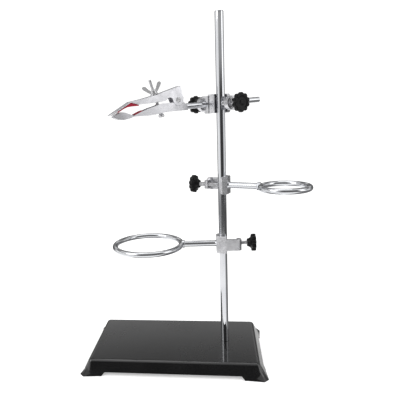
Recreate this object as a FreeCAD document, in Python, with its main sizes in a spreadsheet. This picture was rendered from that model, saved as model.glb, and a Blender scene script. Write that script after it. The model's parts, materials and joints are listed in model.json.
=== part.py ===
import FreeCAD, Part
import math
import os
import re

import Sketcher
from FreeCAD import Placement, Rotation, Vector

# Retort stand: a cast base with an upright rod, two ring clamps, and a bosshead that holds a
# two-jaw flask clamp. Millimetres, +Z up. The origin is on the bench, at the centre of the
# base's feet; X runs along the base and -Y faces the user.

SIZES = {
    # base
    "base_length": 272.0, "base_width": 157.2, "base_height": 20.6,
    "toe_flare": 2.0, "toe_reach": 28.0, "toe_tip": 6.5, "toe_height": 12.5, "toe_slope": 42.0,
    "side_slope": 27.5, "top_round": 6.0,
    "corner_round": 15.0, "hollow_round": 6.0, "hollow_length": 231.0, "hollow_width": 116.0,
    "foot_length": 33.0, "foot_height": 5.0, "foot_ramp": 4.5, "shell_wall": 6.0,
    "hub_radius": 17.0, "hub_foot": 11.4,
    # upright rod and its fixing
    "rod_x": 76.6, "rod_diameter": 12.0, "rod_visible": 481.0, "rod_chamfer": 1.0,
    "spigot_diameter": 10.0, "spigot_foot": 1.6,
    "washer_diameter": 22.0, "washer_gauge": 1.8, "nut_across": 17.0, "nut_height": 7.0,
    # ring clamps, measured from the rod's axis along the handle
    "lower_height": 177.3, "lower_bearing": 183.2, "lower_reach": 111.5, "lower_ring": 49.7,
    "upper_height": 264.9, "upper_bearing": -22.1, "upper_reach": 90.0, "upper_ring": 32.6,
    "ring_wire": 8.0, "handle_diameter": 9.0, "collar_diameter": 12.0, "collar_length": 5.0,
    "limb_height": 25.6, "limb_gauge": 5.0, "limb_end": 4.0, "limb_shoulder": 8.0,
    "limb_slope": 6.5, "far_limb": 10.5, "far_shoulder": 5.0, "far_wall": 3.5,
    "clamp_back": 10.0, "arm_height": 17.0, "arm_inside": 8.5, "arm_end": 26.0,
    "lug_gauge": 5.5, "lug_half_width": 5.5, "lug_half_height": 6.0, "seat_gap": 0.15,
    # thumbscrews, all four alike
    "screw_diameter": 6.0, "thread_gap": 0.05, "tip_gap": 0.3, "screw_length": 39.0,
    "knob_start": 35.0, "knob_hub": 6.0, "knob_head": 6.5, "knob_radius": 13.1,
    "knob_bore": 10.8, "hub_diameter": 12.0, "lobe_circle": 10.0, "knob_core": 11.2,
    "knob_flare": 2.0,
    # bosshead: its screws point along boss_bearing and away from it
    "boss_height": 380.0, "boss_bearing": -54.0, "boss_tall": 26.0, "boss_wide": 24.0,
    "rod_spacing": 20.0, "seat_angle": 120.0, "boss_wall": 5.5, "boss_arm": 8.0,
    "boss_throat": 9.5, "boss_reach": 20.0, "boss_lug": 19.0, "cross_reach": 15.0,
    "cross_tall": 23.0, "cross_floor": 8.5, "cross_start": 2.0,
    "rod_droop": 2.25,
    # flask clamp: along its rod from the bosshead (u), and above the rod's axis (w)
    "clamp_rod_diameter": 8.0, "clamp_rod_tail": 86.0, "clamp_rod_head": 66.0,
    "sheet_gauge": 1.0, "channel_rear": 44.5, "rod_fit": 0.05,
    "pivot_u": 59.5, "pivot_w": 9.8, "pin_diameter": 4.0, "pin_fit": 0.04, "pin_head": 7.0,
    "pin_head_height": 1.2, "pin_head_round": 0.8, "pin_play": 0.4, "jaw_play": 0.1,
    "bolt_diameter": 4.0, "bolt_foot_u": 84.6, "bolt_foot_w": -9.9, "bolt_lean": 16.0,
    "bolt_length": 50.0, "ball_radius": 4.0, "nut_seat": 30.06,
    "jaw_washer_diameter": 11.0, "jaw_washer_gauge": 1.0,
    "wing_hub_diameter": 9.0, "wing_hub_height": 5.0, "wing_span": 26.5, "wing_tall": 14.2,
    "wing_shoulder": 9.8, "wing_gauge": 2.2, "wing_turn": -25.0, "seat_play": 0.05,
    "bend_u": 131.0, "low_bend_u": 128.0, "jaw_tip_u": 160.5, "low_tip_u": 156.0,
    "low_taper_u": 138.0, "low_tip_half": 4.2,
    "fork_slot": 6.4, "fork_root_u": 151.5, "liner_side_gap": 0.6,
}

KNOB_LOBES = 10

# the V seats: how far the V's corner lies from the rod's axis, and how steeply its sides fall
ROD_APEX = "( ( rod_diameter / 2 + seat_gap ) / sin(seat_angle / 2) )"
CROSS_APEX = "( ( clamp_rod_diameter / 2 + seat_gap ) / sin(seat_angle / 2) )"
FALL = "tan(seat_angle / 2)"

doc = FreeCAD.newDocument("retort_stand")
sheet = doc.addObject("Spreadsheet::Sheet", "sizes")
for row, (alias, value) in enumerate(SIZES.items(), start=1):
    sheet.set(f"A{row}", alias)
    sheet.set(f"B{row}", str(value))
    sheet.setAlias(f"B{row}", alias)
doc.recompute()

finished = []


def size(alias):
    """A driving dimension, read back from the sheet."""
    return float(sheet.get(alias))


def bind(feature, **expressions):
    """Bind properties of a feature to expressions over the sheet's cells."""
    for prop, expression in expressions.items():
        feature.setExpression(prop, expression)


def cell(expression):
    """Turn a bare expression over aliases into one that names the sheet."""
    return re.sub(r"[a-z_]+", lambda m: "sizes." * (m.group() in SIZES) + m.group(), expression)


def new_body(name):
    body = doc.addObject("PartDesign::Body", name)
    body.Label = name
    return body


def new_sketch(body, name, plane="XY_Plane", offset="0", tilt=None):
    """A sketch on one of the body's own origin planes, lifted by offset along its normal."""
    sketch = body.newObject("Sketcher::SketchObject", name)
    support = [f for f in body.Origin.OriginFeatures if f.Role == plane][0]
    sketch.AttachmentSupport = [(support, "")]
    sketch.MapMode = "FlatFace"
    if tilt:
        sketch.AttachmentOffset = Placement(Vector(), Rotation(Vector(*tilt[0]), 1.0))
        sketch.setExpression("AttachmentOffset.Rotation.Angle", cell(tilt[1]))
    if offset != "0":
        sketch.setExpression("AttachmentOffset.Base.z", cell(offset))
    return sketch


def outline(sketch, corners):
    """A closed outline of straight lines; each corner is a pair of expressions over the sheet."""
    pairs = [(cell(x), cell(y)) for x, y in corners]
    points = [
        Vector(float(sketch.evalExpression(x)), float(sketch.evalExpression(y)), 0)
        for x, y in pairs
    ]
    first = sketch.GeometryCount
    count = len(points)
    for i in range(count):
        sketch.addGeometry(Part.LineSegment(points[i], points[(i + 1) % count]), False)
    for i in range(count):
        here, after = first + i, first + (i + 1) % count
        sketch.addConstraint(Sketcher.Constraint("Coincident", here, 2, after, 1))
    for i, ((x, y), point) in enumerate(zip(pairs, points)):
        for kind, expression, value in (("DistanceX", x, point.x), ("DistanceY", y, point.y)):
            number = sketch.addConstraint(
                Sketcher.Constraint(kind, -1, 1, first + i, 1, value)
            )
            sketch.setExpression(f"Constraints[{number}]", expression)


def circle(sketch, x, y, diameter):
    """A circle with its centre and diameter bound to the sheet."""
    values = [float(sketch.evalExpression(cell(e))) for e in (x, y, diameter)]
    centre = Vector(values[0], values[1], 0)
    number = sketch.addGeometry(Part.Circle(centre, Vector(0, 0, 1), values[2] / 2), False)
    limits = (("DistanceX", x, centre.x), ("DistanceY", y, centre.y))
    for kind, expression, value in limits:
        index = sketch.addConstraint(Sketcher.Constraint(kind, -1, 1, number, 3, value))
        sketch.setExpression(f"Constraints[{index}]", cell(expression))
    index = sketch.addConstraint(Sketcher.Constraint("Diameter", number, values[2]))
    sketch.setExpression(f"Constraints[{index}]", cell(diameter))


def rectangle(sketch, x0, y0, x1, y1):
    outline(sketch, [(x0, y0), (x1, y0), (x1, y1), (x0, y1)])


def pad(body, sketch, length, midplane=False, reverse=False):
    feature = body.newObject("PartDesign::Pad", sketch.Name + "_pad")
    feature.Profile = sketch
    feature.Midplane = midplane
    feature.Reversed = reverse
    bind(feature, Length=cell(length))
    doc.recompute()
    return feature


def pocket(body, sketch, length=None, midplane=False, reverse=False):
    """Cut the sketch through the body, or to a depth; the volume has to fall."""
    before = body.Shape.Volume
    feature = body.newObject("PartDesign::Pocket", sketch.Name + "_pocket")
    feature.Profile = sketch
    feature.Midplane = midplane
    feature.Reversed = reverse
    if length is None:
        feature.Type = "ThroughAll"
    else:
        bind(feature, Length=cell(length))
    doc.recompute()
    if body.Shape.Volume >= before - 1e-6:
        raise RuntimeError(f"{body.Name}: {sketch.Name} cut nothing")
    return feature


def dress(body, kind, expression, chosen):
    """Fillet or chamfer the edges of the body's tip for which chosen(edge) holds."""
    tip = body.Tip
    edges = [f"Edge{i}" for i, e in enumerate(tip.Shape.Edges, start=1) if chosen(e)]
    if not edges:
        raise RuntimeError(f"{body.Name}: no edge to {kind}")
    feature = body.newObject("PartDesign::" + kind, f"{body.Name}_{kind}_{len(body.Group)}")
    feature.Base = (tip, edges)
    bind(feature, **{"Radius" if kind == "Fillet" else "Size": cell(expression)})
    doc.recompute()
    return feature


def finish(feature, frame=None):
    """Place a finished sub-part in the stand and list it for export."""
    if frame is not None:
        feature.Placement = frame.multiply(feature.Placement)
    finished.append(feature)
    return feature


def turned(bearing, height):
    """A frame on the upright rod whose X axis points along the bearing, in degrees."""
    return Placement(Vector(size("rod_x"), 0, height), Rotation(Vector(0, 0, 1), bearing))


# ---- base, upright rod and its fixing ----------------------------------------------------

def rounded_rectangle(sketch, length, width, radius):
    """A centred rectangle with round corners, its size bound to the sheet."""
    a, b, r = (float(sketch.evalExpression(cell(e))) for e in (length, width, radius))
    a, b = a / 2, b / 2
    up = Vector(0, 0, 1)
    corners = [(a - r, b - r, 0), (r - a, b - r, 90), (r - a, r - b, 180), (a - r, r - b, 270)]
    for x, y, start in corners:
        first, last = math.radians(start), math.radians(start + 90)
        arc = Part.ArcOfCircle(Part.Circle(Vector(x, y, 0), up, r), first, last)
        sketch.addGeometry(arc, False)
    for i in range(4):
        head = sketch.Geometry[i].EndPoint
        tail = sketch.Geometry[(i + 1) % 4].StartPoint
        side = sketch.addGeometry(Part.LineSegment(head, tail), False)
        sketch.addConstraint(Sketcher.Constraint("Tangent", i, 2, side, 1))
        sketch.addConstraint(Sketcher.Constraint("Tangent", side, 2, (i + 1) % 4, 1))
        if i:
            sketch.addConstraint(Sketcher.Constraint("Equal", 0, i))
    for side, kind in ((4, "Horizontal"), (6, "Horizontal"), (5, "Vertical")):
        sketch.addConstraint(Sketcher.Constraint(kind, side))
    sketch.addConstraint(Sketcher.Constraint("Symmetric", 0, 3, 2, 3, -1, 1))
    limits = [
        (Sketcher.Constraint("Radius", 0, r), radius),
        (Sketcher.Constraint("DistanceX", -1, 1, 0, 3, a - r), f"{length} / 2 - {radius}"),
        (Sketcher.Constraint("DistanceY", -1, 1, 0, 3, b - r), f"{width} / 2 - {radius}"),
    ]
    for constraint, expression in limits:
        index = sketch.addConstraint(constraint)
        sketch.setExpression(f"Constraints[{index}]", cell(expression))


def make_base():
    """The cast base: sloping sides, toes drawn out at the corners, a rounded top, four feet."""
    body = new_body("base_casting")
    side = new_sketch(body, "base_side")
    rounded_rectangle(
        side, "( base_length - 2 * toe_flare )", "( base_width - 2 * toe_flare )", "corner_round"
    )
    block = pad(body, side, "base_height")
    bind(block, TaperAngle="0 - " + cell("side_slope"))
    doc.recompute()
    height = size("base_height")
    dress(body, "Fillet", "top_round", lambda e: min(v.Z for v in e.Vertexes) > height - 1e-6)
    for across, along in ((1, 1), (-1, 1), (-1, -1), (1, -1)):
        toe = new_sketch(body, f"base_toe_{'right' if across > 0 else 'left'}_"
                               f"{'back' if along > 0 else 'front'}")
        corners = [
            ("toe_reach", "toe_flare"), ("toe_tip", "0"), ("0", "toe_tip"),
            ("toe_flare", "toe_reach"), ("toe_reach", "toe_reach"),
        ]
        outline(toe, [
            (f"{across} * ( base_length / 2 - {x} )", f"{along} * ( base_width / 2 - {y} )")
            for x, y in corners
        ])
        block = pad(body, toe, "toe_height")
        bind(block, TaperAngle="0 - " + cell("toe_slope"))
        doc.recompute()
    hollow = new_sketch(body, "base_hollow")
    rounded_rectangle(hollow, "hollow_length", "hollow_width", "hollow_round")
    pocket(body, hollow, "base_height - shell_wall", reverse=True)
    for name, plane, across in (
        ("base_front_gap", "XZ_Plane", "base_length"),
        ("base_side_gap", "YZ_Plane", "base_width"),
    ):
        gap = new_sketch(body, name, plane)
        wide = f"{across} / 2 - foot_length"
        narrow = f"{across} / 2 - foot_length - foot_ramp"
        outline(gap, [
            (f"foot_length - {across} / 2", "0"), (wide, "0"),
            (narrow, "foot_height"), (f"foot_length + foot_ramp - {across} / 2", "foot_height"),
        ])
        pocket(body, gap, "base_length + base_width", midplane=True)
    hub = new_sketch(body, "base_hub", offset="hub_foot")
    circle(hub, "rod_x", "0", "2 * hub_radius")
    pad(body, hub, "base_height - shell_wall - hub_foot + 1")
    hole = new_sketch(body, "base_hole")
    circle(hole, "rod_x", "0", "spigot_diameter + 2 * thread_gap")
    pocket(body, hole, "base_height", reverse=True)
    finish(body)


def make_upright():
    """The upright rod: its threaded spigot goes down through the base."""
    rod = doc.addObject("Part::Cylinder", "upright_bar")
    bind(rod, Radius=cell("rod_diameter / 2"), Height=cell("rod_visible"))
    rod.Placement.Base = Vector(size("rod_x"), 0, size("base_height"))
    spigot = doc.addObject("Part::Cylinder", "upright_spigot")
    bind(spigot, Radius=cell("spigot_diameter / 2"), Height=cell("base_height - spigot_foot"))
    spigot.Placement.Base = Vector(size("rod_x"), 0, size("spigot_foot"))
    fused = doc.addObject("Part::Fuse", "upright_fused")
    fused.Base, fused.Tool = rod, spigot
    doc.recompute()
    chamfer = doc.addObject("Part::Chamfer", "upright_rod")
    chamfer.Label = "upright_rod"
    chamfer.Base = fused
    top = size("base_height") + size("rod_visible")
    ends = [
        i for i, e in enumerate(fused.Shape.Edges, start=1)
        if abs(e.BoundBox.ZMin - top) < 1e-6 and e.BoundBox.ZLength < 1e-6
    ]
    chamfer.Edges = [(i, size("rod_chamfer"), size("rod_chamfer")) for i in ends]
    finish(chamfer)

    washer = new_body("rod_washer")
    ring = new_sketch(washer, "rod_washer_ring", offset="hub_foot - washer_gauge")
    circle(ring, "rod_x", "0", "washer_diameter")
    circle(ring, "rod_x", "0", "spigot_diameter + 2 * thread_gap")
    pad(washer, ring, "washer_gauge")
    finish(washer)

    nut = new_body("rod_nut")
    hexagon = new_sketch(nut, "rod_nut_hexagon", offset="hub_foot - washer_gauge - nut_height")
    corner = "nut_across / 2 / cos(30)"
    outline(hexagon, [
        (f"rod_x + {corner} * cos({angle})", f"{corner} * sin({angle})")
        for angle in range(0, 360, 60)
    ])
    circle(hexagon, "rod_x", "0", "spigot_diameter + 2 * thread_gap")
    pad(nut, hexagon, "nut_height")
    finish(nut)


# ---- thumbscrews -------------------------------------------------------------------------

def make_screw(name, frame, start):
    """A thumbscrew in its own frame: it lies along -X, and its tip starts at -start."""
    body = new_body(name)
    end = new_sketch(body, name + "_section", "YZ_Plane", offset=f"0 - {start} - screw_length")
    circle(end, "0", "0", "screw_diameter")
    pad(body, end, "screw_length")
    dress(body, "Chamfer", "rod_chamfer / 2", lambda e: isinstance(e.Curve, Part.Circle))
    finish(body, frame)


def make_knob(name, frame, start):
    """The ten-lobed knob on the screw's outer end: a tapered hub and a scalloped head."""
    body = new_body(name)
    hub = new_sketch(body, name + "_hub", "XZ_Plane")
    outline(hub, [
        (f"0 - {start}", "0"), (f"0 - {start}", "hub_diameter / 2"),
        (f"0 - {start} - knob_hub", "knob_core - knob_flare"),
        (f"0 - {start} - knob_hub", "knob_core"),
        (f"0 - {start} - knob_hub - knob_head", "knob_core"),
        (f"0 - {start} - knob_hub - knob_head", "0"),
    ])
    turn = body.newObject("PartDesign::Revolution", name + "_turned")
    turn.Profile = hub
    axis = [f for f in body.Origin.OriginFeatures if f.Role == "X_Axis"][0]
    turn.ReferenceAxis = (axis, [""])
    turn.Angle = 360
    doc.recompute()
    lobe = new_sketch(
        body, name + "_lobe", "YZ_Plane", offset=f"0 - {start} - knob_hub - knob_head"
    )
    circle(lobe, "lobe_circle", "0", "2 * (knob_radius - lobe_circle)")
    grip = pad(body, lobe, "knob_head")
    ring = body.newObject("PartDesign::PolarPattern", name + "_lobes")
    ring.Originals = [grip]
    ring.Axis = (axis, [""])
    ring.Angle = 360
    ring.Occurrences = KNOB_LOBES
    body.Tip = ring
    doc.recompute()
    bore = new_sketch(body, name + "_bore", "YZ_Plane", offset=f"0 - {start}")
    circle(bore, "0", "0", "screw_diameter + 2 * thread_gap")
    pocket(body, bore, "knob_bore")
    finish(body, frame)


# ---- ring clamps -------------------------------------------------------------------------

def make_ring_clamp(side):
    """One ring clamp: ring with its collar, handle, C-shaped casting, thumbscrew and knob.

    In its own frame the rod stands on the origin, X points to the ring, and the arm passes
    the rod on the +Y side.
    """
    frame = turned(size(side + "_bearing"), size(side + "_height"))
    reach, ring_radius = side + "_reach", side + "_ring"

    torus = doc.addObject("Part::Torus", side + "_ring_wire")
    bind(torus, Radius1=cell(ring_radius), Radius2=cell("ring_wire / 2"))
    torus.Placement.Base = Vector(size(reach), 0, 0)
    collar = doc.addObject("Part::Cylinder", side + "_ring_collar")
    bind(collar, Radius=cell("collar_diameter / 2"), Height=cell("collar_length"))
    inner = size(reach) - size(ring_radius) - size("collar_length")
    collar.Placement = Placement(Vector(inner, 0, 0), Rotation(Vector(0, 1, 0), 90))
    ring = doc.addObject("Part::Fuse", side + "_support_ring")
    ring.Label = side + "_ring"
    ring.Base, ring.Tool = torus, collar
    doc.recompute()
    finish(ring, frame)

    handle = doc.addObject("Part::Cylinder", side + "_handle")
    handle.Label = side + "_ring_handle"
    length = f"{reach} - {ring_radius} - collar_length - clamp_back"
    bind(handle, Radius=cell("handle_diameter / 2"), Height=cell(length))
    at = Placement(Vector(size("clamp_back"), 0, 0), Rotation(Vector(0, 1, 0), 90))
    handle.Placement = at
    doc.recompute()
    finish(handle, frame)

    body = new_body(side + "_clamp_body")
    # the two limbs make a V that backs the rod; the front limb runs on into the arm
    outer = "( arm_inside + limb_gauge )"
    limb = new_sketch(body, side + "_limb")
    outline(limb, [
        (ROD_APEX, "0"), (f"{ROD_APEX} - arm_inside / {FALL}", "arm_inside"),
        ("0 - limb_end", "arm_inside"), ("0 - limb_end", outer),
        ("clamp_back", "limb_shoulder"), ("clamp_back", "0 - far_shoulder"),
        (f"{ROD_APEX} - far_limb / {FALL} + far_wall", "0 - far_limb"),
        (f"{ROD_APEX} - far_limb / {FALL}", "0 - far_limb"),
    ])
    pad(body, limb, "limb_height", midplane=True)
    # the arm goes past the rod and turns in to the lug that the screw threads through
    arm = new_sketch(body, side + "_arm")
    outline(arm, [
        ("0 - limb_end", outer),
        ("3 - arm_end", outer), ("0 - arm_end", f"{outer} - 3"),
        ("0 - arm_end", "2 - lug_half_width"), ("2 - arm_end", "0 - lug_half_width"),
        ("lug_gauge - arm_end", "0 - lug_half_width"), ("lug_gauge - arm_end", "lug_half_width"),
        ("lug_gauge - arm_end + 3", "arm_inside"),
        (f"{ROD_APEX} - arm_inside / {FALL}", "arm_inside"),
    ])
    pad(body, arm, "arm_height", midplane=True)
    # the front limb's edges slope down to the arm's, and the lug is less tall than the arm
    for name, sign in ((side + "_top", ""), (side + "_foot", "0 - ")):
        step = new_sketch(body, name + "_step", "XZ_Plane")
        rectangle(
            step, "0 - arm_end - 1", f"{sign}lug_half_height",
            "lug_gauge - arm_end", f"{sign}( arm_height / 2 + 1 )",
        )
        pocket(body, step, "2 * ( lug_half_width + 1.5 )", midplane=True)
        slope = new_sketch(body, name + "_slope", "XZ_Plane")
        rim = f"{sign}( limb_height / 2 + 0.5 )"
        outline(slope, [
            ("0 - limb_end", f"{sign}arm_height / 2"), ("limb_slope", rim), ("0 - limb_end", rim),
        ])
        pocket(body, slope, f"{outer} + 1", reverse=True)
    bore = new_sketch(body, side + "_screw_bore", "YZ_Plane")
    circle(bore, "0", "0", "screw_diameter + 2 * thread_gap")
    pocket(body, bore, "arm_end + 1")
    finish(body, frame)

    make_screw(side + "_clamp_screw", frame, "( rod_diameter / 2 + tip_gap )")
    make_knob(side + "_clamp_knob", frame, "knob_start")


# ---- bosshead ----------------------------------------------------------------------------

def make_bosshead():
    """The bosshead: two hooks back to back, at right angles, each with its own thumbscrew.

    In its own frame the upright rod stands on the origin, X points along the upright's
    screw, and the clamp rod crosses at -rod_spacing. The clamp rod's seat is cast slightly
    off square, so its head end droops.
    """
    frame = turned(size("boss_bearing"), size("boss_height"))
    body = new_body("boss_body")
    edge = "( boss_throat + 1.2 )"
    back = f"{CROSS_APEX} - rod_spacing"
    plan = new_sketch(body, "boss_plan")
    outline(plan, [
        (f"0 - {ROD_APEX}", "0"),
        (f"boss_throat / {FALL} - {ROD_APEX}", "boss_throat"),
        ("boss_reach", "boss_throat"), ("boss_reach", "1"), ("boss_reach + boss_arm", "1"),
        ("boss_reach + boss_arm", "boss_throat + boss_wall - 3"),
        ("boss_reach + boss_arm - 3", "boss_throat + boss_wall"),
        (back, "boss_throat + boss_wall"), (back, f"0 - {edge}"),
        (f"1 - {ROD_APEX}", f"0 - {edge}"),
        (f"boss_throat / {FALL} - {ROD_APEX}", "0 - boss_throat"),
    ])
    pad(body, plan, "boss_tall", midplane=True)
    # the upright's screw arm is less tall than the hook
    for name, sign in (("boss_arm_top", ""), ("boss_arm_foot", "0 - ")):
        trim = new_sketch(body, name, "XZ_Plane")
        outline(trim, [
            ("0", f"{sign}( boss_tall / 2 + 0.5 )"), ("3", f"{sign}boss_lug / 2"),
            ("boss_reach + boss_arm + 1", f"{sign}boss_lug / 2"),
            ("boss_reach + boss_arm + 1", f"{sign}( boss_tall / 2 + 0.5 )"),
        ])
        pocket(body, trim, "4 * boss_wide", midplane=True)
    lug = new_sketch(body, "upright_lug", "YZ_Plane", offset="boss_reach")
    circle(lug, "0", "0", "boss_lug")
    pad(body, lug, "boss_arm")
    # the clamp rod's hook is open at the top; its profile runs along the drooping rod
    hook = new_sketch(body, "cross_hook", "XZ_Plane", tilt=((1, 0, 0), "rod_droop"))
    arm_in, arm_out = "0 - rod_spacing - cross_reach", "0 - rod_spacing - cross_reach - boss_arm"
    brim = f"{back} - boss_throat / {FALL}"
    outline(hook, [
        (f"{back} + cross_start", "cross_tall / 2"), (brim, "cross_tall / 2"),
        (brim, "cross_floor"), (back, "0"),
        (f"{back} - cross_floor / {FALL}", "0 - cross_floor"), (arm_in, "0 - cross_floor"),
        (arm_in, "cross_tall / 2 - 3"), (f"{arm_in} - 2", "cross_tall / 2"),
        (f"{arm_out} + 2", "cross_tall / 2"), (arm_out, "cross_tall / 2 - 3"),
        (arm_out, "3 - cross_tall / 2"), (f"{arm_out} + 3", "0 - cross_tall / 2 - 1.5"),
        (f"{back} + cross_start", "0 - cross_tall / 2 - 1.5"),
    ])
    pad(body, hook, "boss_wide", midplane=True)
    # the floor is rounded across the rod, and the crossbar's arm ends in a round lug
    for name, start, across, depth in (
        ("cross_floor_edge", "0 - rod_spacing - 2", "boss_tall", "cross_reach - 1"),
        ("cross_lug_edge", "1 - rod_spacing - cross_reach", "cross_tall", "boss_arm + 3"),
    ):
        edges = new_sketch(body, name, "YZ_Plane", offset=start)
        rectangle(edges, "0 - boss_wide", "0 - boss_tall", "boss_wide", "boss_tall")
        circle(edges, "0", "0", across)
        pocket(body, edges, depth)
    # the clamp rod's groove, cut along the drooping rod so that it clears the web too
    groove = new_sketch(body, "cross_groove", "XZ_Plane", tilt=((1, 0, 0), "rod_droop"))
    outline(groove, [
        (back, "0"),
        (f"{back} - cross_floor / {FALL}", "cross_floor"),
        ("0 - rod_spacing - 5", "cross_floor"), ("0 - rod_spacing - 5", "0 - cross_floor"),
        (f"{back} - cross_floor / {FALL}", "0 - cross_floor"),
    ])
    pocket(body, groove, "4 * boss_wide", midplane=True)
    for name, start in (
        ("upright_screw_bore", "boss_reach + boss_arm + 1"),
        ("crossbar_screw_bore", "1 - rod_spacing - cross_reach"),
    ):
        bore = new_sketch(body, name, "YZ_Plane", offset=start)
        circle(bore, "0", "0", "screw_diameter + 2 * thread_gap")
        pocket(body, bore, "boss_arm + 4")
    finish(body, frame)

    # a thumbscrew lies along its frame's -X, so the upright's is turned half a turn
    half_turn = Placement(Vector(), Rotation(Vector(0, 0, 1), 180))
    upright_frame = frame.multiply(half_turn)
    cross_frame = frame.multiply(Placement(Vector(-size("rod_spacing"), 0, 0), Rotation()))
    make_screw("upright_screw", upright_frame, "( rod_diameter / 2 + tip_gap )")
    make_knob("upright_knob", upright_frame, "knob_start")
    make_screw("crossbar_screw", cross_frame, "( clamp_rod_diameter / 2 + tip_gap )")
    make_knob("crossbar_knob", cross_frame, "( knob_start - 2 )")


# ---- flask clamp -------------------------------------------------------------------------

def clamp_frame():
    """The flask clamp's frame: X along its rod to the jaws, Z up across the jaws."""
    boss = turned(size("boss_bearing"), size("boss_height"))
    heading = Placement(Vector(-size("rod_spacing"), 0, 0), Rotation(Vector(0, 0, 1), -90))
    droop = Placement(Vector(), Rotation(Vector(0, 1, 0), size("rod_droop")))
    return boss.multiply(heading).multiply(droop)


def sheet_profile(body, name, corners, width, inside=None):
    """Pad a side profile to width, then take out the inside profile between the flanges."""
    face = new_sketch(body, name, "XZ_Plane")
    outline(face, corners)
    pad(body, face, width, midplane=True)
    if inside:
        room = new_sketch(body, name + "_room", "XZ_Plane")
        outline(room, inside)
        pocket(body, room, f"{width} - 2 * sheet_gauge", midplane=True)


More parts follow.
